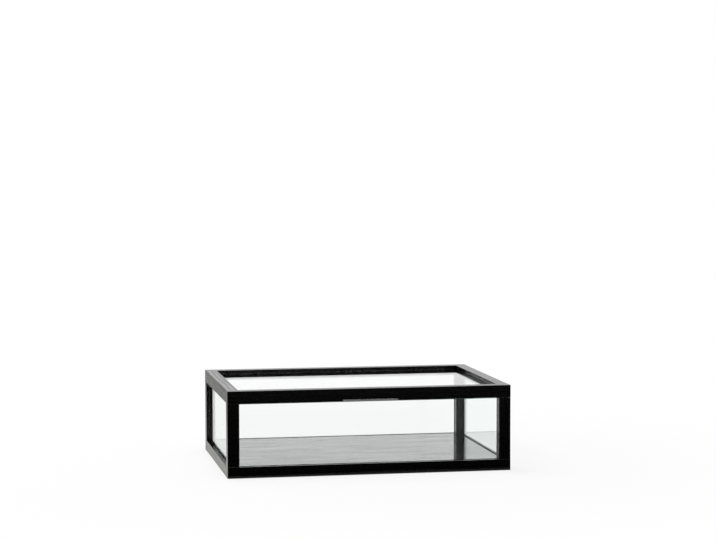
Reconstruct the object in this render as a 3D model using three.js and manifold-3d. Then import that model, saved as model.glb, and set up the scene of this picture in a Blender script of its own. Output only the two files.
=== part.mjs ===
// A glass display box: a black-stained wooden frame with clear panes on four sides,
// a boarded base, and a framed glass lid that swings up on two small brass hinges.
// Millimetres, +Z up, front towards -Y. The origin is on the table, in the middle of
// the box's outline with its hinges.

import * as THREE from 'three';
import { mergeVertices } from 'three/addons/utils/BufferGeometryUtils.js';
import Module from 'manifold-3d';

const wasm = await Module();
wasm.setup();

// Overall size
const caseWidth = 400;
const caseDepth = 280;
const caseHeight = 120.5;

// Frame stock
const stockWidth = 16.5;
const baseRailHeight = 15.7;
const lidRailHeight = 17.5;
const lidSeam = 0.4;
const arrisRadius = 0.4;

// Glass and its grooves
const glassThickness = 4;
const glassArris = 0.4;
const glassCorner = 1;
const outerReveal = 4.4;
const grooveDepth = 4;
const paneTopGap = 0.4;
const lidGlassDrop = 5.5;
const fitGap = 0.3;

// Base board
const boardThickness = 12;
const boardArris = 0.3;
const boardCorner = 0.8;
const glazingGap = 1.8;

// Dowels
const dowelRadius = 2.5;
const dowelSink = 8.7;
const dowelChamfer = 0.6;
const dowelWall = 1;
const postDowelRise = 12;

// Finger pull
const pullWidth = 82;
const pullHeight = 4;
const pullDepth = 2.2;

// Hinges
const hingeWidth = 13;
const leafThickness = 1;
const leafHeight = 11;
const leafCorner = 1.2;
const knuckleRadius = 1.8;
const knuckleGap = 0.25;
const heelRadius = 3.4;
const heelHeight = 4.6;
const stopAngle = THREE.MathUtils.degToRad(96);
const pinRadius = 0.8;
const pinClearance = 0.15;
const pinHeadRadius = 1.3;
const pinHeadHeight = 0.7;

// Screws
const screwHeight = 7.2;
const screwSpacing = 5;
const screwWall = 1.1;
const screwDepth = 5.5;
const screwShankRadius = 1;
const screwHeadRadius = 1.9;
const screwHeadDepth = 0.9;
const screwHeadRim = 0.2;
const screwSlotWidth = 0.5;
const screwSlotDepth = 0.4;
const slotTurn = THREE.MathUtils.degToRad(37);

// Bumpers
const bumperRadius = 3;
const bumperThickness = 1.2;
const bumperTaper = 0.2;

// How far a cutting shape runs past the face that it opens
const overrun = 2;

// Facets
const arrisFacets = 4;
const dowelSides = 20;
const pullSides = 40;
const hingeSides = 28;
const screwSides = 24;
const heelSteps = 8;

// Places that several pieces share
const halfWidth = caseWidth / 2;
const halfDepth = caseDepth / 2;
const halfStock = stockWidth / 2;
const grooveWidth = glassThickness + 2 * fitGap;
const paneInset = outerReveal + grooveWidth / 2;
const paneEndInset = stockWidth - grooveDepth + fitGap;
const boardEdgeInset = paneInset + glassThickness / 2 + glazingGap;
const caseTop = caseHeight - lidRailHeight - lidSeam;
const postHeight = caseTop - baseRailHeight;
const lidBottom = caseTop + lidSeam;
const paneBottom = baseRailHeight - grooveDepth + fitGap;
const paneTop = caseTop - paneTopGap;
const lidGlassMiddle = caseHeight - lidGlassDrop - glassThickness / 2;
const boardBottom = baseRailHeight - boardThickness;
const dowelInset = (stockWidth - grooveDepth) / 2;
const baseDowelHeight = (baseRailHeight - grooveDepth) / 2;
const postDowelBottom = baseDowelHeight + dowelRadius + fitGap + dowelWall + fitGap;
const knuckleLength = (hingeWidth - 2 * knuckleGap) / 3;
const axisBack = knuckleRadius + fitGap;
const hingeReach = axisBack + Math.max(knuckleRadius, heelRadius * Math.cos(stopAngle / 2));
const screwHoleRadius = screwShankRadius + fitGap;
const innerScrewInset = stockWidth - grooveDepth - screwWall - screwHoleRadius;
const hingeInset = innerScrewInset - screwSpacing / 2;
const lidScrewRise = screwHeight - lidSeam / 2;
const lidDowelRise = lidScrewRise + screwHoleRadius + dowelWall + fitGap + dowelRadius;
const hingeAxis = new THREE.Vector3(0, halfDepth + axisBack, caseTop + lidSeam / 2);

const sides = [['left', -1], ['right', 1]];
const ends = [['front', -1], ['rear', 1]];

// Finishes
const blackWood = new THREE.MeshStandardMaterial({ color: 0x0d0d0d, roughness: 0.32, metalness: 0 });
const clearGlass = new THREE.MeshStandardMaterial({
  color: 0xeef6f3,
  roughness: 0.03,
  metalness: 0,
  transparent: true,
  opacity: 0.25,
});
const beech = new THREE.MeshStandardMaterial({ color: 0xc9a27a, roughness: 0.6, metalness: 0 });
const brass = new THREE.MeshStandardMaterial({ color: 0xb08d4c, roughness: 0.35, metalness: 1 });
const rubber = new THREE.MeshStandardMaterial({ color: 0x1c1c1c, roughness: 0.7, metalness: 0 });

// The turn that takes a shape drawn in XY, and pushed along Z, to each direction of travel
const unitX = new THREE.Vector3(1, 0, 0);
const unitY = new THREE.Vector3(0, 1, 0);
const unitZ = new THREE.Vector3(0, 0, 1);
const turnTo = {
  x: new THREE.Matrix4().makeBasis(unitY, unitZ, unitX),
  y: new THREE.Matrix4().makeBasis(unitZ, unitX, unitY),
  z: new THREE.Matrix4(),
};
const crossAxes = { x: ['y', 'z'], y: ['z', 'x'], z: ['x', 'y'] };

function toSolid(geometry) {
  const bare = geometry.clone();
  bare.deleteAttribute('normal');
  bare.deleteAttribute('uv');
  const merged = mergeVertices(bare);
  const corners = merged.index.array;
  const triangles = [];
  for (let i = 0; i < corners.length; i += 3) {
    const [a, b, c] = [corners[i], corners[i + 1], corners[i + 2]];
    if (a !== b && b !== c && c !== a) {
      triangles.push(a, b, c);
    }
  }
  return new wasm.Manifold(new wasm.Mesh({
    numProp: 3,
    vertProperties: merged.attributes.position.array,
    triVerts: Uint32Array.from(triangles),
  }));
}

function toGeometry(solid) {
  const { vertProperties, triVerts } = solid.getMesh();
  const indexed = new THREE.BufferGeometry();
  indexed.setAttribute('position', new THREE.BufferAttribute(vertProperties, 3));
  indexed.setIndex(new THREE.BufferAttribute(triVerts, 1));
  const geometry = indexed.toNonIndexed();
  geometry.computeVertexNormals();
  return geometry;
}

function join(geometries) {
  return toGeometry(geometries.map(toSolid).reduce((whole, next) => whole.add(next)));
}

// Cuts a piece that is drawn around its own place; the cutters are drawn in the case.
function carve(stock, place, cutters) {
  const { x, y, z } = place;
  const solids = cutters.map((cutter) => toSolid(cutter.clone().translate(-x, -y, -z)));
  return toGeometry(solids.reduce((rest, cutter) => rest.subtract(cutter), toSolid(stock)));
}

function moved(geometry, place) {
  return geometry.clone().translate(place.x, place.y, place.z);
}

function roundedRectangle(width, height, radius) {
  const shape = new THREE.Shape();
  const x = width / 2 - radius;
  const y = height / 2 - radius;
  const quarter = Math.PI / 2;
  shape.absarc(x, y, radius, 0, quarter);
  shape.absarc(-x, y, radius, quarter, 2 * quarter);
  shape.absarc(-x, -y, radius, 2 * quarter, 3 * quarter);
  shape.absarc(x, -y, radius, 3 * quarter, 4 * quarter);
  return shape;
}

// An arc of a shape is drawn with two facets for each curve segment.
function extrudeAlong(axis, shape, length, arris, facets = arrisFacets) {
  const depth = length - 2 * arris;
  const geometry = new THREE.ExtrudeGeometry(shape, {
    depth,
    curveSegments: facets / 2,
    bevelEnabled: arris > 0,
    bevelThickness: arris,
    bevelSize: arris,
    bevelOffset: -arris,
    bevelSegments: 1,
  });
  return geometry.translate(0, 0, -depth / 2).applyMatrix4(turnTo[axis]);
}

// A length of frame stock with its four long edges eased
function bar(axis, size) {
  const [across, up] = crossAxes[axis];
  return extrudeAlong(axis, roundedRectangle(size[across], size[up], arrisRadius), size[axis], 0);
}

// A flat sheet, thin along its axis, with a small bevel round both faces
function sheet(axis, size, corner, arris) {
  const [across, up] = crossAxes[axis];
  return extrudeAlong(axis, roundedRectangle(size[across], size[up], corner), size[axis], arris);
}

// A plain block between two corners of the case
function block(low, high) {
  const size = high.clone().sub(low);
  return moved(new THREE.BoxGeometry(size.x, size.y, size.z), low.clone().add(high).divideScalar(2));
}

// A round rod, with an arris on both ends where one is given
function rod(axis, radius, length, facets, arris = 0) {
  const shape = new THREE.Shape();
  shape.absarc(0, 0, radius, 0, 2 * Math.PI);
  return extrudeAlong(axis, shape, length, arris, facets);
}

// Glass

function paneSheets() {
  const middle = (paneBottom + paneTop) / 2;
  const height = paneTop - paneBottom;
  const across = new THREE.Vector3(caseWidth - 2 * paneEndInset, glassThickness, height);
  const along = new THREE.Vector3(glassThickness, caseDepth - 2 * paneEndInset, height);
  const lengthwise = ends.map(([end, toRear]) => ({
    name: `pane_${end}`,
    axis: 'y',
    size: across,
    place: new THREE.Vector3(0, toRear * (halfDepth - paneInset), middle),
  }));
  const crosswise = sides.map(([side, toRight]) => ({
    name: `pane_${side}`,
    axis: 'x',
    size: along,
    place: new THREE.Vector3(toRight * (halfWidth - paneInset), 0, middle),
  }));
  return [...lengthwise, ...crosswise];
}

// The groove that a pane drops into from above
function paneGroove(pane) {
  const reach = pane.size.clone().divideScalar(2).addScalar(fitGap);
  const low = pane.place.clone().sub(reach);
  const high = pane.place.clone().add(reach);
  high.z = caseTop + overrun;
  return block(low, high);
}

const lidGlassSize = new THREE.Vector3(
  caseWidth - 2 * paneEndInset,
  caseDepth - 2 * paneEndInset,
  glassThickness,
);
const lidGlassPlace = new THREE.Vector3(0, 0, lidGlassMiddle);

function lidGlassGroove() {
  const reach = lidGlassSize.clone().divideScalar(2).addScalar(fitGap);
  return block(lidGlassPlace.clone().sub(reach), lidGlassPlace.clone().add(reach));
}

// Base board: its upper edge lies in a rabbet of the rails, level with their lips, and ends a
// little short of the glass

const boardPlace = new THREE.Vector3(0, 0, boardBottom + boardThickness / 2);

function baseBoard() {
  const inner = 2 * (stockWidth + fitGap);
  const outer = 2 * boardEdgeInset;
  const edge = grooveDepth - fitGap;
  const rise = (boardThickness - edge) / 2;
  const panel = new THREE.Vector3(caseWidth - inner, caseDepth - inner, boardThickness);
  const lengthwise = new THREE.Vector3(caseWidth - outer, caseDepth - inner, edge);
  const crosswise = new THREE.Vector3(caseWidth - inner, caseDepth - outer, edge);
  return join([
    sheet('z', panel, boardCorner, boardArris),
    sheet('z', lengthwise, boardCorner, boardArris).translate(0, 0, rise),
    sheet('z', crosswise, boardCorner, boardArris).translate(0, 0, rise),
  ]);
}

// The rabbet runs between the posts, from the lip that stands in front of the glass inwards.
function boardRabbet(axis) {
  const reach = new THREE.Vector3(halfWidth - stockWidth, halfDepth - stockWidth, overrun);
  const [across] = crossAxes[axis].filter((other) => other !== 'z');
  reach[across] += stockWidth - outerReveal;
  const low = new THREE.Vector3(-reach.x, -reach.y, -grooveDepth);
  return block(low, reach).translate(0, 0, baseRailHeight);
}

// Dowels: turned pegs with chamfered ends, and the holes that take them

function dowel({ axis, length }) {
  return rod(axis, dowelRadius, length, dowelSides, dowelChamfer);
}

function cornerDowels() {
  const dowels = [];
  for (const [end, toRear] of ends) {
    for (const [side, toRight] of sides) {
      const x = toRight * (halfWidth - dowelInset);
      const joint = toRear * (halfDepth - stockWidth);
      const postTop = baseRailHeight + postDowelRise;
      dowels.push({
        name: `base_dowel_${end}_${side}`,
        axis: 'y',
        length: 2 * dowelSink,
        place: new THREE.Vector3(x, joint, baseDowelHeight),
      });
      dowels.push({
        name: `post_dowel_${end}_${side}`,
        axis: 'z',
        length: postTop - postDowelBottom,
        place: new THREE.Vector3(x, toRear * (halfDepth - dowelInset), (postTop + postDowelBottom) / 2),
      });
      dowels.push({
        name: `lid_dowel_${end}_${side}`,
        axis: 'y',
        length: 2 * dowelSink,
        place: new THREE.Vector3(x, joint, lidBottom + lidDowelRise),
      });
    }
  }
  return dowels;
}

function dowelHole({ axis, length, place }) {
  return moved(rod(axis, dowelRadius + fitGap, length + 2 * fitGap, dowelSides), place);
}

// Screws: slotted, countersunk, driven from the rear face; y is zero at the wood's face

function screwProfile(grow, headOverrun) {
  const top = leafThickness + headOverrun;
  const head = screwHeadRadius + grow;
  const shank = screwShankRadius + grow;
  return [
    new THREE.Vector2(0, -screwDepth - grow),
    new THREE.Vector2(shank, -screwDepth - grow),
    new THREE.Vector2(shank, leafThickness - screwHeadDepth),
    new THREE.Vector2(head, leafThickness - screwHeadRim),
    new THREE.Vector2(head, top),
    new THREE.Vector2(0, top),
  ];
}

function screw() {
  const turned = new THREE.LatheGeometry(screwProfile(0, 0), screwSides);
  const slot = new THREE.BoxGeometry(2 * (screwHeadRadius + overrun), 2 * screwSlotDepth, screwSlotWidth);
  return carve(turned, new THREE.Vector3(), [slot.translate(0, leafThickness, 0)]);
}

function screwHole(place) {
  return moved(new THREE.LatheGeometry(screwProfile(fitGap, overrun), screwSides), place);
}

function hingeScrews() {
  const screws = [];
  for (const [side, toRight] of sides) {
    for (const [part, up] of [['case', -1], ['lid', 1]]) {
      for (const [which, outward] of [['outer', 1], ['inner', -1]]) {
        const x = toRight * (halfWidth - hingeInset + outward * screwSpacing / 2);
        screws.push({
          name: `${part}_screw_${side}_${which}`,
          part,
          place: new THREE.Vector3(x, halfDepth, hingeAxis.z + up * screwHeight),
        });
      }
    }
  }
  return screws;
}

// Hinges, drawn around the pin: y towards the rear, z up

function knuckleStations(part) {
  const step = knuckleLength + knuckleGap;
  return part === 'lid' ? [0] : [-step, step];
}

function leafOutline(up) {
  const back = -axisBack;
  const face = back + leafThickness;
  const clear = Math.sqrt((knuckleRadius + knuckleGap) ** 2 - face ** 2);
  return [
    new THREE.Vector2(back, up * clear),
    new THREE.Vector2(face, up * clear),
    new THREE.Vector2(face, up * leafHeight),
    new THREE.Vector2(back, up * leafHeight),
  ];
}

// The heel stands over the barrel; the two heels meet when the lid is open and stop it.
function heelOutline(up) {
  const inner = knuckleRadius + knuckleGap;
  const seat = -axisBack + leafThickness / 2;
  const start = Math.acos(seat / inner);
  const end = stopAngle / 2;
  const points = [];
  for (let i = 0; i <= heelSteps; i += 1) {
    const angle = start + (end - start) * i / heelSteps;
    points.push(new THREE.Vector2(inner * Math.cos(angle), up * inner * Math.sin(angle)));
  }
  points.push(new THREE.Vector2(heelRadius * Math.cos(end), up * heelRadius * Math.sin(end)));
  points.push(new THREE.Vector2(seat, up * heelHeight));
  return points;
}

function webOutline(up) {
  const back = -axisBack;
  const face = back + leafThickness;
  return [
    new THREE.Vector2(back, 0),
    new THREE.Vector2(face, 0),
    new THREE.Vector2(face, up * knuckleRadius * 2),
    new THREE.Vector2(back, up * knuckleRadius * 2),
  ];
}

function extrudeOutline(points, length) {
  return extrudeAlong('x', new THREE.Shape(points), length, 0);
}

function hingeLeaf(part, up, place) {
  const metal = [
    extrudeOutline(leafOutline(up), hingeWidth),
    extrudeOutline(heelOutline(up), hingeWidth),
  ];
  for (const x of knuckleStations(part)) {
    metal.push(extrudeOutline(webOutline(up), knuckleLength).translate(x, 0, 0));
    metal.push(rod('x', knuckleRadius, knuckleLength, hingeSides).translate(x, 0, 0));
  }
  const bore = rod('x', pinRadius + pinClearance, hingeWidth + 2 * overrun, hingeSides);
  const holes = hingeScrews().filter((one) => one.part === part).map((one) => screwHole(one.place));
  return carve(join(metal), place, [moved(bore, place), ...holes, ...leafCorners(up, place)]);
}

// What rounds off the two outer corners of a leaf
function leafCorners(up, place) {
  const offset = leafCorner / 2;
  return sides.map(([, toRight]) => {
    const corner = new THREE.Vector3(
      toRight * (hingeWidth / 2 - offset),
      leafThickness / 2 - axisBack,
      up * (leafHeight - offset),
    );
    const waste = new THREE.BoxGeometry(leafCorner + overrun, leafThickness + overrun, leafCorner + overrun);
    waste.translate(toRight * overrun / 2, 0, up * overrun / 2);
    const round = rod('y', leafCorner, leafThickness + 2 * overrun, hingeSides);
    round.translate(-toRight * offset, 0, -up * offset);
    return moved(carve(waste, new THREE.Vector3(), [round]), corner.add(place));
  });
}

// A pin with a peened head at each end
function hingePin() {
  const shaftEnd = hingeWidth / 2 + knuckleGap;
  const headEnd = shaftEnd + pinHeadHeight;
  const profile = [
    new THREE.Vector2(0, -headEnd),
    new THREE.Vector2(pinRadius, -headEnd),
    new THREE.Vector2(pinHeadRadius, -shaftEnd - pinHeadHeight / 2),
    new THREE.Vector2(pinHeadRadius, -shaftEnd),
    new THREE.Vector2(pinRadius, -shaftEnd),
    new THREE.Vector2(pinRadius, shaftEnd),
    new THREE.Vector2(pinHeadRadius, shaftEnd),
    new THREE.Vector2(pinHeadRadius, shaftEnd + pinHeadHeight / 2),
    new THREE.Vector2(pinRadius, headEnd),
    new THREE.Vector2(0, headEnd),
  ];
  return new THREE.LatheGeometry(profile, hingeSides).rotateZ(-Math.PI / 2);
}

// Finger pull: a scoop in the lid rail's lower front edge, left by a cone that runs along it:
// flat above, where the fingertips lift, and sloping out to the edge below
function fingerPull() {
  const travel = pullWidth / 2 - pullDepth;
  const cones = sides.map(([, toRight]) => {
    const cone = new THREE.ConeGeometry(pullDepth, pullHeight, pullSides).rotateX(-Math.PI / 2);
    return toSolid(cone.translate(toRight * travel, -halfDepth, lidBottom + pullHeight / 2));
  });
  return toGeometry(wasm.Manifold.hull(cones));
}

// Bumpers: discs let into the tops of the front posts, standing up to the lid
function bumperDiscs() {
  return sides.map(([side, toRight]) => ({
    name: `bumper_${side}`,
    place: new THREE.Vector3(
      toRight * (halfWidth - dowelInset),
      dowelInset - halfDepth,
      caseTop + lidSeam - fitGap - bumperThickness / 2,
    ),
  }));
}

function bumper() {
  return new THREE.CylinderGeometry(bumperRadius - bumperTaper, bumperRadius, bumperThickness, dowelSides)
    .rotateX(Math.PI / 2);
}

function bumperPocket({ place }) {
  const hole = rod('z', bumperRadius + fitGap, bumperThickness + fitGap + overrun, dowelSides);
  return moved(hole, place).translate(0, 0, (overrun - fitGap) / 2);
}

// Assembly

const displayBox = new THREE.Group();
const body = new THREE.Group();
const lid = new THREE.Group();
lid.position.copy(hingeAxis);
displayBox.add(body, lid);
displayBox.position.y = -hingeReach / 2;

function addPiece(group, name, finish, geometry, place) {
  const mesh = new THREE.Mesh(geometry, finish);
  mesh.name = name;
  mesh.position.copy(place).sub(group.position);
  group.add(mesh);
}

const panes = paneSheets();
const dowels = cornerDowels();
const screws = hingeScrews();
const bumpers = bumperDiscs();
const paneGrooves = panes.map(paneGroove);
const dowelHoles = dowels.map(dowelHole);
const screwHoles = screws.map((one) => screwHole(one.place));
const caseCutters = [...paneGrooves, ...dowelHoles, ...screwHoles];
const postCutters = [...caseCutters, ...bumpers.map(bumperPocket)];
const lidCutters = [lidGlassGroove(), fingerPull(), ...dowelHoles, ...screwHoles];
const baseRailCutters = {
  x: [...caseCutters, boardRabbet('x')],
  y: [...caseCutters, boardRabbet('y')],
};
const lidRailCutters = { x: lidCutters, y: lidCutters };

function addRails(group, prefix, height, middle, cutters) {
  for (const [end, toRear] of ends) {
    const size = new THREE.Vector3(caseWidth, stockWidth, height);
    const place = new THREE.Vector3(0, toRear * (halfDepth - halfStock), middle);
    addPiece(group, `${prefix}_${end}`, blackWood, carve(bar('x', size), place, cutters.x), place);
  }
  for (const [side, toRight] of sides) {
    const size = new THREE.Vector3(stockWidth, caseDepth - 2 * stockWidth, height);
    const place = new THREE.Vector3(toRight * (halfWidth - halfStock), 0, middle);
    addPiece(group, `${prefix}_${side}`, blackWood, carve(bar('y', size), place, cutters.y), place);
  }
}

function addPosts() {
  const size = new THREE.Vector3(stockWidth, stockWidth, postHeight);
  for (const [end, toRear] of ends) {
    for (const [side, toRight] of sides) {
      const place = new THREE.Vector3(
        toRight * (halfWidth - halfStock),
        toRear * (halfDepth - halfStock),
        baseRailHeight + postHeight / 2,
      );
      addPiece(body, `post_${end}_${side}`, blackWood, carve(bar('z', size), place, postCutters), place);
    }
  }
}

function addHinges() {
  for (const [side, toRight] of sides) {
    const place = hingeAxis.clone().setX(toRight * (halfWidth - hingeInset));
    addPiece(body, `hinge_leaf_case_${side}`, brass, hingeLeaf('case', -1, place), place);
    addPiece(lid, `hinge_leaf_lid_${side}`, brass, hingeLeaf('lid', 1, place), place);
    addPiece(body, `hinge_pin_${side}`, brass, hingePin(), place);
  }
  screws.forEach(({ name, part, place }, index) => {
    const geometry = screw().rotateY(index * slotTurn);
    addPiece(part === 'lid' ? lid : body, name, brass, geometry, place);
  });
}

addPiece(body, 'base_board', blackWood, baseBoard(), boardPlace);
addRails(body, 'base_rail', baseRailHeight, baseRailHeight / 2, baseRailCutters);
addPosts();
for (const { name, axis, size, place } of panes) {
  addPiece(body, name, clearGlass, sheet(axis, size, glassCorner, glassArris), place);
}

addRails(lid, 'lid_rail', lidRailHeight, lidBottom + lidRailHeight / 2, lidRailCutters);
addPiece(lid, 'lid_glass', clearGlass, sheet('z', lidGlassSize, glassCorner, glassArris), lidGlassPlace);

for (const one of dowels) {
  addPiece(one.name.startsWith('lid') ? lid : body, one.name, beech, dowel(one), one.place);
}
addHinges();

for (const { name, place } of bumpers) {
  addPiece(body, name, rubber, bumper(), place);
}

export default displayBox;
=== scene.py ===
# %% [markdown]
# # A glass display box
#
# This lesson dresses a small display box: a black-stained wooden frame, five panes of clear
# glass, a boarded base, and a lid that swings on two brass hinges. Every piece already has its
# true shape and size, so the work here is light, glass and timber. The box is almost colourless:
# what makes it read as lacquered wood is how strongly each face mirrors its surroundings.

# %% Load the frame
import math
import random

import bpy
from mathutils import Matrix, Vector


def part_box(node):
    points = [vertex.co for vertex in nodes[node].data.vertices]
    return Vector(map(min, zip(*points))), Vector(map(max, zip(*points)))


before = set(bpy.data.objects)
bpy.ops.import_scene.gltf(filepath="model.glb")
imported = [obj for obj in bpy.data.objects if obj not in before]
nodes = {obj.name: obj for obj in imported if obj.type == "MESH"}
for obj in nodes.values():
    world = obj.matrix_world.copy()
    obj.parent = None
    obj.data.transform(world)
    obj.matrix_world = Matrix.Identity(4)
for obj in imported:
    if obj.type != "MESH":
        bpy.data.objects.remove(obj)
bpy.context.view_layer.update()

scene = bpy.context.scene
MM = 0.001

# %% [markdown]
# ## The camera
#
# The picture was taken from a little to the left and slightly above, from almost three metres
# away through a long lens, so upright edges stay upright and the depth looks short. A camera can
# be aimed with a Track To constraint, but the place, the turn and the lens were measured from the
# box's own corners, so they are written down and joined as one matrix.

# %% Camera
CAMERA_PLACE = Vector((-0.527186, -2.890028, 0.452879))
CAMERA_YAW = math.radians(10.5055)
CAMERA_PITCH = math.radians(3.4386)
CAMERA_ROLL = math.radians(-0.1058)
CAMERA_LENS = 102.0089
SENSOR_WIDTH = 36

lens = bpy.data.cameras.new("camera")
lens.lens = CAMERA_LENS
lens.sensor_width = SENSOR_WIDTH
camera = bpy.data.objects.new("camera", lens)
scene.collection.objects.link(camera)
camera.matrix_world = (
    Matrix.Translation(CAMERA_PLACE)
    @ Matrix.Rotation(-CAMERA_YAW, 4, "Z")
    @ Matrix.Rotation(math.pi / 2 - CAMERA_PITCH, 4, "X")
    @ Matrix.Rotation(CAMERA_ROLL, 4, "Z")
)
scene.camera = camera
scene.view_settings.view_transform = "Standard"
print("camera", round(CAMERA_PLACE.length, 2), "m from the box, lens", CAMERA_LENS, "mm")

# %% [markdown]
# ## Small helpers for node trees
#
# Materials here are built from nodes, and each node needs the same three steps: make it, set its
# options, feed its inputs. The first two helpers do all three, and most of the others are short
# names for the nodes that are used again and again: a sum, a ramp, a mix, a bump.

# %% Node helpers
MIX_SHARE, MIX_FIRST, MIX_SECOND, MIX_RESULT = 0, 6, 7, 2  # a Mix node's sockets for colours


def feed(tree, node, feeds):
    """Gives each named input a value, or a link where it gets another node's output."""
    for name, value in feeds.items():
        if isinstance(value, bpy.types.NodeSocket):
            tree.links.new(value, node.inputs[name])
        else:
            node.inputs[name].default_value = value


def add(tree, kind, feeds=None, **options):
    """Makes a node, sets its options, and feeds its inputs."""
    made = tree.nodes.new(kind)
    for name, value in options.items():
        setattr(made, name, value)
    feed(tree, made, feeds or {})
    return made


def sums(tree, operation, *values):
    feeds = dict(enumerate(values))
    return add(tree, "ShaderNodeMath", feeds, operation=operation).outputs[0]


def vector_sums(tree, operation, *values):
    feeds = dict(enumerate(values))
    return add(tree, "ShaderNodeVectorMath", feeds, operation=operation)


def fade(tree, value, start, end, low=0.0, high=1.0):
    """A smooth ramp from low, where value is start, to high, where it is end."""
    feeds = {"Value": value, "From Min": start, "From Max": end, "To Min": low, "To Max": high}
    made = add(tree, "ShaderNodeMapRange", feeds, interpolation_type="SMOOTHSTEP")
    return made.outputs["Result"]


def blend(tree, share, first, second):
    """A colour mix: first where share is 0, second where it is 1."""
    made = add(tree, "ShaderNodeMix", data_type="RGBA")
    feed(tree, made, {MIX_SHARE: share, MIX_FIRST: first, MIX_SECOND: second})
    return made.outputs[MIX_RESULT]


def mixed(tree, share, first, second):
    """A shader mix: first where share is 0, second where it is 1."""
    feeds = {0: share, 1: first.outputs[0], 2: second.outputs[0]}
    return add(tree, "ShaderNodeMixShader", feeds)


def noise(tree, place, stretch, detail=2.0, roughness=0.5):
    """Soft noise, with so many waves to the metre along each axis."""
    scaled = vector_sums(tree, "MULTIPLY", place, stretch).outputs[0]
    feeds = {"Vector": scaled, "Scale": 1.0, "Detail": detail, "Roughness": roughness}
    return add(tree, "ShaderNodeTexNoise", feeds).outputs[0]


def bumped(tree, height, depth, strength=1.0):
    """A normal bent by a height, whose full swing is depth metres."""
    feeds = {"Strength": strength, "Distance": depth, "Height": height}
    return add(tree, "ShaderNodeBump", feeds).outputs[0]


def grey(level):
    return (level, level, level, 1.0)


# %% [markdown]
# A node group has named sockets on the outside, and an input and an output node of its own on the
# inside. A new material comes with a shader in it already, so its tree is emptied first.

# %% Group and material helpers
def new_group(name, inputs, outputs):
    """A shader node group with its sockets. Returns it with its inside input and output nodes."""
    group = bpy.data.node_groups.new(name, "ShaderNodeTree")
    for label, start in inputs.items():
        kind = "NodeSocketVector" if isinstance(start, tuple) else "NodeSocketFloat"
        socket = group.interface.new_socket(label, in_out="INPUT", socket_type=kind)
        socket.default_value = start
    for label in outputs:
        group.interface.new_socket(label, in_out="OUTPUT", socket_type="NodeSocketFloat")
    way_in = group.nodes.new("NodeGroupInput").outputs
    way_out = group.nodes.new("NodeGroupOutput").inputs
    return group, way_in, way_out


def fed(tree, group, feeds):
    """Places a node group, feeds its inputs, and returns its outputs."""
    return add(tree, "ShaderNodeGroup", feeds, node_tree=group).outputs


def blank_material(name):
    """A new material with an empty node tree. Returns both."""
    made = bpy.data.materials.new(name)
    made.use_nodes = True
    made.node_tree.nodes.clear()
    return made, made.node_tree


def end_with(tree, surface):
    """Ends a tree: this surface is the one that is rendered."""
    add(tree, "ShaderNodeOutputMaterial", {"Surface": surface.outputs[0]})


def coordinates(tree):
    """The place in the piece, in metres."""
    return add(tree, "ShaderNodeTexCoord").outputs["Object"]


# %% [markdown]
# ## The studio
#
# The box stands on a pale floor in a bright room: white behind it and to the right, dark behind
# the camera and high on the left. The dark behind the camera is what keeps the faces turned to the
# viewer black. What is mirrored inside the box and leaves it again through the front pane meets a
# half-bright room, so the posts behind the glass look a little veiled. A dark wall could be a real
# object, but the world's own colour can do it, because a ray that leaves the scene knows its
# direction, and Light Path knows whether it was mirrored on its way.

# %% World
ROOM_LIGHT = 0.7
DARK_SIDE = 0.005
VEILED_SIDE = 0.5
FRONT_DARK, FRONT_BRIGHT = -0.2, -0.02
LEFT_DARK, LEFT_BRIGHT = -0.09, -0.04
WHITE = grey(1.0)

world = bpy.data.worlds.new("studio_room")
world.use_nodes = True
scene.world = world
room = world.node_tree
room.nodes.clear()
ray = add(room, "ShaderNodeLightPath").outputs
toward = add(room, "ShaderNodeTexCoord").outputs["Generated"]
heading = add(room, "ShaderNodeSeparateXYZ", {0: toward}).outputs
in_front = fade(room, heading["Y"], FRONT_DARK, FRONT_BRIGHT, DARK_SIDE, 1.0)
on_left = fade(room, heading["X"], LEFT_DARK, LEFT_BRIGHT, DARK_SIDE, 1.0)
darkest = sums(room, "MINIMUM", in_front, on_left)
mirrored = blend(room, ray["Is Glossy Ray"], grey(ROOM_LIGHT), darkest)
was_mirrored = sums(room, "MINIMUM", ray["Glossy Depth"], 1.0)
veiled = sums(room, "MAXIMUM", in_front, VEILED_SIDE)
through = blend(room, was_mirrored, WHITE, veiled)
room_colour = blend(room, ray["Is Transmission Ray"], mirrored, through)
room_colour = blend(room, ray["Is Camera Ray"], room_colour, WHITE)
background = add(room, "ShaderNodeBackground", {"Color": room_colour, "Strength": 1.0})
add(room, "ShaderNodeOutputWorld", {"Surface": background.outputs[0]})
print("room light", ROOM_LIGHT, "and", DARK_SIDE, "behind the camera")

# %% [markdown]
# The floor is a plain matt white. Seen by the camera or through glass it glows, so that it melts
# into the white background, and only close to the box does a share of plain paint still show the
# shadow. Where it is mirrored, as in the box's left side, the floor is a warm glow whose strength
# is painted by place: a painted shadow, a little grey, under the box, white beyond it, and grey
# again further left, greyer still up to 0.7 m behind the box's middle.

# %% Floor
FLOOR_HALF_WIDTH = 6.0
FLOOR_WHITE = 0.86
SHADOW_SHARE = 0.22
SHADOW_NEAR, SHADOW_FAR = 0.28, 0.75
# Strengths of the floor's mirrored glow; the first is a painted shadow under the box.
MIRRORED_PAINTED_SHADOW, MIRRORED_PAPER, MIRRORED_TABLE = 0.76, 0.93, 0.42
SHADE_END, PAPER_START = -0.210, -0.218
PAPER_END, TABLE_START = -0.288, -0.298
TABLE_NEAR, TABLE_FAR, TABLE_DIM = 0.7, 1.0, 0.72
WARM_WHITE = (1.0, 1.0, 0.965, 1.0)


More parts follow.
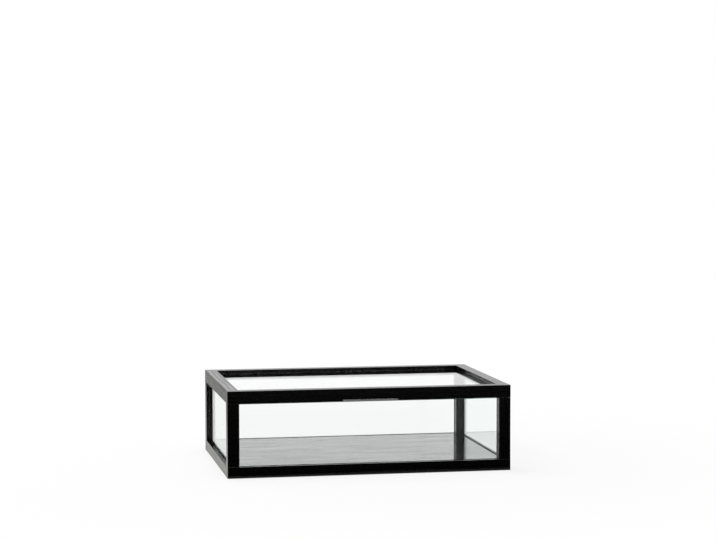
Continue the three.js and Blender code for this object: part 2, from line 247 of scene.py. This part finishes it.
def flat_sheet(name, low, high, height, material):
    """A level rectangle between two corners."""
    mesh = bpy.data.meshes.new(name)
    corners = [(low[0], low[1]), (high[0], low[1]), (high[0], high[1]), (low[0], high[1])]
    mesh.from_pydata([(x, y, height) for x, y in corners], [], [(0, 1, 2, 3)])
    mesh.materials.append(material)
    made = bpy.data.objects.new(name, mesh)
    scene.collection.objects.link(made)
    return made


floor_paint, tree = blank_material("matt_white_floor")
ray = add(tree, "ShaderNodeLightPath").outputs
place = coordinates(tree)
distance = vector_sums(tree, "LENGTH", place).outputs["Value"]
seen = sums(tree, "MAXIMUM", ray["Is Camera Ray"], ray["Is Transmission Ray"])
white_share = fade(tree, distance, SHADOW_NEAR, SHADOW_FAR, 1 - SHADOW_SHARE, 1.0)
seen_share = sums(tree, "MULTIPLY", seen, white_share)
share = sums(tree, "MAXIMUM", seen_share, ray["Is Glossy Ray"])
split = add(tree, "ShaderNodeSeparateXYZ", {0: place}).outputs
# Painted shadow: where the floor is mirrored, its glow is a little grey under the box and brighter
# to its left.
painted_shadow = fade(tree, split["X"], SHADE_END, PAPER_START, MIRRORED_PAINTED_SHADOW, MIRRORED_PAPER)
depth = fade(tree, split["Y"], TABLE_NEAR, TABLE_FAR, TABLE_DIM * MIRRORED_TABLE, MIRRORED_TABLE)
table = fade(tree, split["X"], PAPER_END, TABLE_START, MIRRORED_PAPER, depth)
brightness = sums(tree, "MAXIMUM", seen, sums(tree, "MINIMUM", painted_shadow, table))
matt = add(tree, "ShaderNodeBsdfDiffuse", {"Color": grey(FLOOR_WHITE)})
glow_colour = blend(tree, seen, WARM_WHITE, WHITE)
glow = add(tree, "ShaderNodeEmission", {"Color": glow_colour, "Strength": brightness})
end_with(tree, mixed(tree, share, matt, glow))

floor_corner = (FLOOR_HALF_WIDTH, FLOOR_HALF_WIDTH)
floor = flat_sheet("floor", [-c for c in floor_corner], floor_corner, 0.0, floor_paint)
print("floor", 2 * FLOOR_HALF_WIDTH, "m wide")

# %% [markdown]
# Photographers lay a black card in front of a shiny thing to keep its front from mirroring the
# table. The card here is met by mirrored rays alone, so it shows neither in the picture nor in
# the glass, and takes no light from the box. A ray that was mirrored inside the box, and meets the
# card through a pane, finds it as bright as the room's half-bright side.

# %% Black card
CARD_NEAR, CARD_FAR = -0.15, -2.4
CARD_HALF_WIDTH = 2.0
CARD_LIFT = 0.4 * MM
CARD_GREY = 0.005


def hide_from(thing, *kinds):
    """Leaves a thing out of the kinds of ray that are named."""
    for kind in kinds:
        setattr(thing, f"visible_{kind}", False)


card_paint, tree = blank_material("black_card")
ray = add(tree, "ShaderNodeLightPath").outputs
matt = add(tree, "ShaderNodeBsdfDiffuse", {"Color": grey(CARD_GREY)})
veil = add(tree, "ShaderNodeEmission", {"Color": WHITE, "Strength": VEILED_SIDE})
clear = add(tree, "ShaderNodeBsdfTransparent", {"Color": WHITE})
was_mirrored = sums(tree, "MINIMUM", ray["Glossy Depth"], 1.0)
through = mixed(tree, was_mirrored, clear, veil)
end_with(tree, mixed(tree, ray["Is Transmission Ray"], matt, through))
card_low, card_high = (-CARD_HALF_WIDTH, CARD_FAR), (CARD_HALF_WIDTH, CARD_NEAR)
card = flat_sheet("card", card_low, card_high, CARD_LIFT, card_paint)
hide_from(card, "camera", "diffuse", "volume_scatter", "shadow")
print("card from", CARD_NEAR, "to", CARD_FAR, "m in front")

# %% [markdown]
# One wide lamp overhead, a little behind the box, models a softbox. Its size makes the shadow
# soft. The lid's glass would mirror it as a white sheet when it is looked at from above, and the
# board would do so through the glass, so both kinds of ray pass it by, as a polarising filter
# would have it.

# %% Softbox
LAMP_PLACE = Vector((-0.7, 0.5, 2.1))
LAMP_SIZE = (1.8, 1.4)
LAMP_WATTS = 26


def area_lamp(name, place, size, watts):
    """A rectangular lamp, aimed at the middle of the box's foot."""
    data = bpy.data.lights.new(name, "AREA")
    data.shape = "RECTANGLE"
    data.size, data.size_y = size
    data.energy = watts
    made = bpy.data.objects.new(name, data)
    scene.collection.objects.link(made)
    turn = (-place).to_track_quat("-Z", "Y").to_matrix().to_4x4()
    made.matrix_world = Matrix.Translation(place) @ turn
    print(name, watts, "W at", [round(c, 2) for c in place], "m")
    return made


softbox = area_lamp("softbox", LAMP_PLACE, LAMP_SIZE, LAMP_WATTS)
hide_from(softbox, "glossy", "transmission")

# %% [markdown]
# A second, narrow lamp hangs high in front of the box. The scoop under the lid's front rail slopes
# so that it mirrors just this lamp to the viewer, and that is why a finger finds it at a glance.
# It is met by mirrored rays alone: it adds a highlight and no light. A wider lamp would also catch
# the grain of the upright faces and turn the black ones grey.

# %% Strip light
STRIP_PLACE = Vector((0.4, -1.65, 1.9))
STRIP_SIZE = (0.6, 1.2)
STRIP_WATTS = 11.5

strip = area_lamp("strip_light", STRIP_PLACE, STRIP_SIZE, STRIP_WATTS)
hide_from(strip, "camera", "diffuse", "transmission", "volume_scatter")

# %% [markdown]
# ## Grain
#
# Ash and oak are ring-porous: each year's ring starts with a band of open pores, which show as
# short dashes along the grain, and ends in dense smooth wood. Painting that on each face would
# need matching pictures. A solid pattern is better here: rings are distances from the middle of
# the tree, cut by whatever face the piece has, so the end grain comes out right as well.
#
# The group takes a place measured along the grain in X, and gives the porous band, the pores,
# slow streaks of tone, broad clouds, and a height for the bump.

# %% Grain group
WAVER_STRETCH = (7.0, 26.0, 26.0)
FIBRE_STRETCH = (90.0, 3200.0, 3200.0)
STREAK_STRETCH = (9.0, 330.0, 330.0)
CLOUD_STRETCH = (9.0, 70.0, 70.0)
BAND_OPENS, BAND_CLOSES = (0.0, 0.12), (0.3, 0.75)
PORE_WALL = (0.2, 0.42)
BAND_FULL, DENSE_WOOD_PORES = 0.7, 0.12
PORE_RISE, BAND_RISE, FIBRE_RISE, STREAK_RISE = -0.8, -0.35, 0.25, 0.5

grain_group, way_in, way_out = new_group(
    "ring_porous_grain",
    {
        "Place": (0.0, 0.0, 0.0),
        "Pith": (0.0, 0.09, 0.06),
        "Ring Width": 0.0024,
        "Waver": 0.0022,
        "Pore Length": 0.004,
        "Pore Width": 0.00045,
    },
    ("Porous Band", "Pores", "Streaks", "Clouds", "Height"),
)
tree = grain_group

place = way_in["Place"]
waver = noise(tree, place, WAVER_STRETCH)
waver = sums(tree, "MULTIPLY", sums(tree, "SUBTRACT", waver, 0.5), way_in["Waver"])
from_pith = vector_sums(tree, "SUBTRACT", place, way_in["Pith"]).outputs[0]
across = vector_sums(tree, "MULTIPLY", from_pith, (0.0, 1.0, 1.0)).outputs[0]
radius = sums(tree, "ADD", vector_sums(tree, "LENGTH", across).outputs["Value"], waver)
year = sums(tree, "FRACT", sums(tree, "DIVIDE", radius, way_in["Ring Width"]))
opening = fade(tree, year, *BAND_OPENS)
closing = fade(tree, year, *BAND_CLOSES, 1.0, 0.0)
band = sums(tree, "MULTIPLY", opening, closing)

along = sums(tree, "DIVIDE", 1.0, way_in["Pore Length"])
side = sums(tree, "DIVIDE", 1.0, way_in["Pore Width"])
pore_scale = add(tree, "ShaderNodeCombineXYZ", {0: along, 1: side, 2: side}).outputs[0]
pore_place = vector_sums(tree, "MULTIPLY", place, pore_scale).outputs[0]
cell_feeds = {"Vector": pore_place, "Scale": 1.0}
cells = add(tree, "ShaderNodeTexVoronoi", cell_feeds).outputs["Distance"]
open_pores = fade(tree, cells, *PORE_WALL, 1.0, 0.0)
how_many = fade(tree, band, 0.0, BAND_FULL, DENSE_WOOD_PORES, 1.0)
pores = sums(tree, "MULTIPLY", open_pores, how_many)

fibres = noise(tree, place, FIBRE_STRETCH, detail=1.0)
streaks = noise(tree, place, STREAK_STRETCH, detail=3.0, roughness=0.6)
clouds = noise(tree, place, CLOUD_STRETCH, detail=4.0, roughness=0.6)
height = sums(tree, "MULTIPLY", pores, PORE_RISE)
for layer, rise in ((band, BAND_RISE), (fibres, FIBRE_RISE), (streaks, STREAK_RISE)):
    height = sums(tree, "MULTIPLY_ADD", layer, rise, height)

grain_outputs = {
    "Porous Band": band,
    "Pores": pores,
    "Streaks": streaks,
    "Clouds": clouds,
    "Height": height,
}
for label, value in grain_outputs.items():
    tree.links.new(value, way_out[label])
print("grain group with", len(tree.nodes), "nodes")

# %% [markdown]
# ## Rubbed arrises and handling
#
# Sharp edges lose finish first. Every rail, post and sheet here is a box along the axes, so the
# distance to its nearest edge can be worked out exactly: measure how far inside each pair of faces
# a point lies, and take the middle one of the three. A Bevel node would find edges on any shape,
# but it is slower and sees only the sharp ones.
#
# The second group is the film that hands and cloths leave: faint wide smudges.

# %% Edge and film groups
ARRIS_WIDTH = 0.9 * MM
PATCH_STRETCH = (260.0, 260.0, 260.0)
PATCH_RANGE, REACH_RANGE = (0.3, 0.7), (0.4, 1.6)
SMUDGE_RANGE = (0.45, 0.75)

arris_group, way_in, way_out = new_group(
    "rubbed_arris",
    {
        "Place": (0.0, 0.0, 0.0),
        "Middle": (0.0, 0.0, 0.0),
        "Half Size": (0.1, 0.1, 0.1),
        "Width": ARRIS_WIDTH,
    },
    ("Rubbed",),
)
tree = arris_group
apart = vector_sums(tree, "SUBTRACT", way_in["Place"], way_in["Middle"]).outputs[0]
apart = vector_sums(tree, "ABSOLUTE", apart).outputs[0]
inside = vector_sums(tree, "SUBTRACT", way_in["Half Size"], apart).outputs[0]
inside = add(tree, "ShaderNodeSeparateXYZ", {0: inside}).outputs
least_xy = sums(tree, "MINIMUM", inside[0], inside[1])
most_xy = sums(tree, "MAXIMUM", inside[0], inside[1])
to_edge = sums(tree, "MAXIMUM", least_xy, sums(tree, "MINIMUM", most_xy, inside[2]))
patchy = noise(tree, way_in["Place"], PATCH_STRETCH, detail=3.0)
reach = sums(tree, "MULTIPLY", way_in["Width"], fade(tree, patchy, *PATCH_RANGE, *REACH_RANGE))
worn = sums(tree, "SUBTRACT", 1.0, sums(tree, "DIVIDE", to_edge, reach))
tree.links.new(fade(tree, worn, 0.0, 1.0), way_out["Rubbed"])

film_group, way_in, way_out = new_group(
    "handling_film", {"Place": (0.0, 0.0, 0.0), "Spread": 14.0}, ("Smudge",)
)
tree = film_group
even = {axis: way_in["Spread"] for axis in range(3)}
spread = add(tree, "ShaderNodeCombineXYZ", even).outputs[0]
wide = noise(tree, way_in["Place"], spread, detail=4.0, roughness=0.65)
tree.links.new(fade(tree, wide, *SMUDGE_RANGE), way_out["Smudge"])
print("edge group", len(arris_group.nodes), "nodes, film group", len(film_group.nodes), "nodes")

# %% [markdown]
# ## Black-stained frame
#
# The rails and posts are cut from one straight-grained stock, stained black and sealed with a
# thin satin lacquer that leaves the pores open. Head on the stain swallows the light; at a low
# angle the lacquer mirrors it, and the pores break that mirror into fine dashes. So the colour
# stays near black, and the grain goes into roughness and bump. Each stick is a length of its own:
# the same recipe runs along its longest side, from a different place in the tree.

# %% Where the grain runs
GRAIN_SEED = 11
SHIFT_RANGE = (0.2, 1.0)
PITH_RANGE = (0.07, 0.14)
tree_seed = random.Random(GRAIN_SEED)


def piece_box(name):
    """A piece's middle and half its size, in metres."""
    low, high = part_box(name)
    return (low + high) / 2, (high - low) / 2


def turned(axis, values):
    """Three values in the order of the grain: the one along it comes first."""
    return [values[(axis + i) % 3] for i in range(3)]


def cut_from_tree(middle, axis):
    """Where in the tree a piece was cut: its shift along it, and the place of the pith."""
    shift = Vector([tree_seed.uniform(*SHIFT_RANGE) for _ in range(3)])
    angle = tree_seed.uniform(0, 2 * math.pi)
    far = tree_seed.uniform(*PITH_RANGE)
    to_pith = Vector((0, far * math.cos(angle), far * math.sin(angle)))
    return shift, Vector(turned(axis, middle)) + shift + to_pith


# %% [markdown]
# One recipe makes every wood in the box. The tone comes from the streaks, the porous band and the
# pores. It runs between the finish's deep and worn colours, and makes the worn places smoother. A
# coat, where the finish has one, is thicker in some clouds and thinner in others, as brushed
# lacquer is.

# %% Timber
STREAK_TONE, BAND_TONE, PORE_TONE = 0.9, -0.25, -0.3
TONE_RANGE = (0.15, 0.75)
RUBBED_SHARE = 0.6
PORE_ROUGHNESS, SMUDGE_ROUGHNESS = 0.12, 0.03
CLOUD_RANGE = (0.3, 0.7)
COAT_THIN, COAT_THICK = 0.6, 1.4


def timber(name, colours, roughness, relief, rubbed, coat=0.0, coat_roughness=0.0, grain=None):
    """A finished wood for one piece: its grain along the longest side, its edges rubbed."""
    middle, half_size = piece_box(name)
    axis = max(range(3), key=lambda i: half_size[i])
    shift, pith = cut_from_tree(middle, axis)

    made, tree = blank_material(f"wood_{name}")
    place = coordinates(tree)
    split = add(tree, "ShaderNodeSeparateXYZ", {0: place}).outputs
    grain_feeds = dict(enumerate(turned(axis, split)))
    grain_place = add(tree, "ShaderNodeCombineXYZ", grain_feeds).outputs[0]
    grain_place = vector_sums(tree, "ADD", grain_place, shift).outputs[0]
    figure = fed(tree, grain_group, {"Place": grain_place, "Pith": pith, **(grain or {})})
    edge_feeds = {"Place": place, "Middle": middle, "Half Size": half_size, "Width": ARRIS_WIDTH}
    edge = fed(tree, arris_group, edge_feeds)
    film = fed(tree, film_group, {"Place": place})

    tone = sums(tree, "MULTIPLY", figure["Porous Band"], BAND_TONE)
    tone = sums(tree, "MULTIPLY_ADD", figure["Streaks"], STREAK_TONE, tone)
    tone = sums(tree, "MULTIPLY_ADD", figure["Pores"], PORE_TONE, tone)
    tone = fade(tree, tone, *TONE_RANGE)
    colour = blend(tree, tone, *colours)
    colour = blend(tree, sums(tree, "MULTIPLY", edge["Rubbed"], RUBBED_SHARE), colour, rubbed)
    smooth, dull = roughness
    shine = fade(tree, tone, 0.0, 1.0, dull, smooth)
    shine = sums(tree, "MULTIPLY_ADD", figure["Pores"], PORE_ROUGHNESS, shine)
    shine = sums(tree, "MULTIPLY_ADD", film["Smudge"], SMUDGE_ROUGHNESS, shine)
    if coat:
        coat = fade(tree, figure["Clouds"], *CLOUD_RANGE, COAT_THIN * coat, COAT_THICK * coat)
    surface = add(
        tree,
        "ShaderNodeBsdfPrincipled",
        {
            "Base Color": colour,
            "Roughness": shine,
            "Normal": bumped(tree, figure["Height"], relief),
            "Coat Weight": coat,
            "Coat Roughness": coat_roughness,
        },
    )
    end_with(tree, surface)
    return made


# %% [markdown]
# The stain is almost pure black, a little lighter in the worn wood between the pores and on the
# rubbed edges. A relief of a twentieth of a millimetre is enough to break the mirror.

# %% Black wood
STAIN = ((0.0001, 0.0001, 0.0001, 1.0), (0.0016, 0.0016, 0.0017, 1.0))
STAIN_RUBBED = (0.016, 0.015, 0.014, 1.0)
STICK_SHINE = (0.12, 0.26)
STICK_RELIEF = 0.05 * MM


def dress(name, material):
    """Gives a piece one finish all over."""
    slots = nodes[name].data.materials
    slots.clear()
    slots.append(material)


def starting(*heads):
    return sorted(name for name in nodes if name.startswith(heads))


frame_sticks = starting("base_rail_", "post_front_", "post_rear_", "lid_rail_")
for name in frame_sticks:
    dress(name, timber(name, STAIN, STICK_SHINE, STICK_RELIEF, STAIN_RUBBED))
print(len(frame_sticks), "sticks of black wood")

# %% [markdown]
# ## Base board
#
# The board carries the same black finish, but it is a wide flat face with more coats on it, and
# it works as a dark mirror: the rear post stands on its head in it. A coat over the grain does
# this: a smooth clear layer above, the grain's broken shine below.

# %% Board
BOARD_SHINE = (0.06, 0.12)
BOARD_RELIEF = 0.02 * MM
BOARD_COAT = 0.38
BOARD_COAT_ROUGHNESS = 0.02
BOARD_GRAIN = {"Ring Width": 0.0042, "Waver": 0.009, "Pore Length": 0.006, "Pore Width": 0.0006}

board_finish = timber(
    "base_board",
    STAIN,
    BOARD_SHINE,
    BOARD_RELIEF,
    STAIN_RUBBED,
    coat=BOARD_COAT,
    coat_roughness=BOARD_COAT_ROUGHNESS,
    grain=BOARD_GRAIN,
)
dress("base_board", board_finish)
print("board", [round(side / MM, 1) for side in piece_box("base_board")[1] * 2], "mm")

# %% [markdown]
# ## Glass
#
# Float glass is clear through its thickness and green along it, so the sheets look neutral face
# on and their edges look like deep water. A side pane is seen so much at a slant that the long
# way through it shows some of that green too. The front and rear panes are looked through face on,
# and a lower index stands in there for a coating that keeps them from mirroring. Light
# that only passes through on its way to the board is let straight through, because tracing it
# through two bent surfaces would cost a great deal of noise for no visible gain.

# %% Clear glass
GLASS_CLEAR = (0.994, 1.0, 0.998, 1.0)
GLASS_SLANT = (0.880, 1.0, 0.965, 1.0)
GLASS_EDGE = (0.12, 0.42, 0.31, 1.0)
GLASS_IOR = 1.5
FACE_ON_IOR = 1.37
EDGE_DEPTH = 0.7 * MM
EDGE_ROUGHNESS = 0.25
GLASS_SPREAD = 9.0
GLASS_SMUDGE = 0.012
SLANT_RANGE = (0.5, 0.85)
RIPPLE_STRETCH = (11.0, 11.0, 11.0)
RIPPLE_RELIEF, RIPPLE_STRENGTH = 0.08 * MM, 0.3
NO_EDGE = 1.0
LEFT_RIGHT, FRONT_REAR = 0, 1


def sheet_edge(tree, place, name, thin):
    """1 on the narrow edges of a sheet and just inside them, 0 over its two wide faces."""
    middle, half_size = piece_box(name)
    reach = Vector(half_size)
    reach[thin] = NO_EDGE
    apart = vector_sums(tree, "SUBTRACT", place, middle).outputs[0]
    apart = vector_sums(tree, "ABSOLUTE", apart).outputs[0]
    inside = vector_sums(tree, "SUBTRACT", reach, apart).outputs[0]
    inside = add(tree, "ShaderNodeSeparateXYZ", {0: inside}).outputs
    to_edge = sums(tree, "MINIMUM", sums(tree, "MINIMUM", inside[0], inside[1]), inside[2])
    return fade(tree, to_edge, 0.0, EDGE_DEPTH, 1.0, 0.0)


def clear_glass(name):
    """Float glass for one sheet: green at its edges, and in the side panes at a slant."""
    half_size = piece_box(name)[1]
    thin = min(range(3), key=lambda i: half_size[i])
    made, tree = blank_material(f"glass_{name}")
    place = coordinates(tree)
    edge = sheet_edge(tree, place, name, thin)
    film = fed(tree, film_group, {"Place": place, "Spread": GLASS_SPREAD})
    ripple = noise(tree, place, RIPPLE_STRETCH, detail=0.0)
    shine = sums(tree, "MULTIPLY", film["Smudge"], GLASS_SMUDGE)
    shine = sums(tree, "MULTIPLY_ADD", edge, EDGE_ROUGHNESS, shine)
    tint = GLASS_CLEAR
    if thin == LEFT_RIGHT:
        slant = add(tree, "ShaderNodeLayerWeight", {"Blend": 0.5}).outputs["Facing"]
        tint = blend(tree, fade(tree, slant, *SLANT_RANGE), GLASS_CLEAR, GLASS_SLANT)
    surface = add(
        tree,
        "ShaderNodeBsdfPrincipled",
        {
            "Base Color": blend(tree, edge, tint, GLASS_EDGE),
            "Roughness": shine,
            "IOR": FACE_ON_IOR if thin == FRONT_REAR else GLASS_IOR,
            "Transmission Weight": 1.0,
            "Normal": bumped(tree, ripple, RIPPLE_RELIEF, RIPPLE_STRENGTH),
        },
    )
    ray = add(tree, "ShaderNodeLightPath").outputs
    passing = sums(tree, "MAXIMUM", ray["Is Shadow Ray"], ray["Is Diffuse Ray"])
    straight = add(tree, "ShaderNodeBsdfTransparent", {"Color": GLASS_CLEAR})
    end_with(tree, mixed(tree, passing, surface, straight))
    return made


sheets = starting("pane_", "lid_glass")
for name in sheets:
    dress(name, clear_glass(name))
print(len(sheets), "sheets of glass")

# %% [markdown]
# ## Hinges and screws
#
# The brass is satin: fine brushing along the leaf, and a little tarnish away from the edges, which
# the fingers polish. Real brushing is a set of scratches. Noise stretched along X gives the same
# broken shine, and turns up on every face without a picture.

# %% Brass
BRASS_BRIGHT = (0.74, 0.55, 0.25, 1.0)
BRASS_DULL = (0.38, 0.25, 0.1, 1.0)
BRASS_SPREAD = 90.0
BRASS_ARRIS = 0.6 * MM
BRUSH_STRETCH = (500.0, 9000.0, 9000.0)
BRUSH_RANGE, BRUSH_SHINE = (0.2, 0.8), (0.24, 0.4)
BRUSH_RELIEF, BRUSH_STRENGTH = 0.02 * MM, 0.35
TARNISH_INNER, TARNISH_ROUGHNESS = 0.8, 0.2


def satin_brass(name):
    """Brushed brass for one piece, tarnished away from its edges."""
    middle, half_size = piece_box(name)
    made, tree = blank_material(f"brass_{name}")
    place = coordinates(tree)
    film = fed(tree, film_group, {"Place": place, "Spread": BRASS_SPREAD})
    edge_feeds = {"Place": place, "Middle": middle, "Half Size": half_size, "Width": BRASS_ARRIS}
    edge = fed(tree, arris_group, edge_feeds)
    brushing = noise(tree, place, BRUSH_STRETCH)
    unpolished = fade(tree, edge["Rubbed"], 0.0, 1.0, TARNISH_INNER, 0.0)
    tarnish = sums(tree, "MULTIPLY", film["Smudge"], unpolished)
    shine = fade(tree, brushing, *BRUSH_RANGE, *BRUSH_SHINE)
    surface = add(
        tree,
        "ShaderNodeBsdfPrincipled",
        {
            "Base Color": blend(tree, tarnish, BRASS_BRIGHT, BRASS_DULL),
            "Metallic": 1.0,
            "Roughness": sums(tree, "MULTIPLY_ADD", tarnish, TARNISH_ROUGHNESS, shine),
            "Normal": bumped(tree, brushing, BRUSH_RELIEF, BRUSH_STRENGTH),
        },
    )
    end_with(tree, surface)
    return made


brass_pieces = starting("hinge_", "case_screw_", "lid_screw_")
for name in brass_pieces:
    dress(name, satin_brass(name))
print(len(brass_pieces), "pieces of brass")

# %% [markdown]
# ## Dowels
#
# The dowels are bare turned beech, a wood with fine pores and narrow rings. The timber recipe
# makes it too, with paler colours, a duller shine and a finer grain.

# %% Beech
BEECH = ((0.42, 0.25, 0.13, 1.0), (0.66, 0.46, 0.28, 1.0))
BEECH_SHINE = (0.45, 0.6)
BEECH_RELIEF = 0.02 * MM
FINE_GRAIN = {"Ring Width": 0.0016, "Waver": 0.001, "Pore Length": 0.0016, "Pore Width": 0.00016}

pegs = starting("base_dowel_", "post_dowel_", "lid_dowel_")
for name in pegs:
    dress(name, timber(name, BEECH, BEECH_SHINE, BEECH_RELIEF, BEECH[1], grain=FINE_GRAIN))
print(len(pegs), "beech dowels")

# %% [markdown]
# ## Bumpers
#
# The bumpers are thin discs of soft black rubber, a little dusty. Moulded rubber has a fine
# pebbled skin, so one noise drives both its bump and its shine.

# %% Rubber
RUBBER_BLACK = (0.006, 0.006, 0.006, 1.0)
RUBBER_DUSTY = (0.03, 0.03, 0.028, 1.0)
RUBBER_SPREAD = 400.0
PEBBLE_STRETCH = (2600.0, 2600.0, 2600.0)
PEBBLE_RANGE, PEBBLE_SHINE = (0.3, 0.7), (0.6, 0.8)
PEBBLE_RELIEF, PEBBLE_STRENGTH = 0.03 * MM, 0.4

rubber, tree = blank_material("soft_rubber")
place = coordinates(tree)
film = fed(tree, film_group, {"Place": place, "Spread": RUBBER_SPREAD})
pebble = noise(tree, place, PEBBLE_STRETCH)
surface = add(
    tree,
    "ShaderNodeBsdfPrincipled",
    {
        "Base Color": blend(tree, film["Smudge"], RUBBER_BLACK, RUBBER_DUSTY),
        "Roughness": fade(tree, pebble, *PEBBLE_RANGE, *PEBBLE_SHINE),
        "Normal": bumped(tree, pebble, PEBBLE_RELIEF, PEBBLE_STRENGTH),
    },
)
end_with(tree, surface)
bumpers = starting("bumper_")
for name in bumpers:
    dress(name, rubber)
print(len(bumpers), "bumpers")
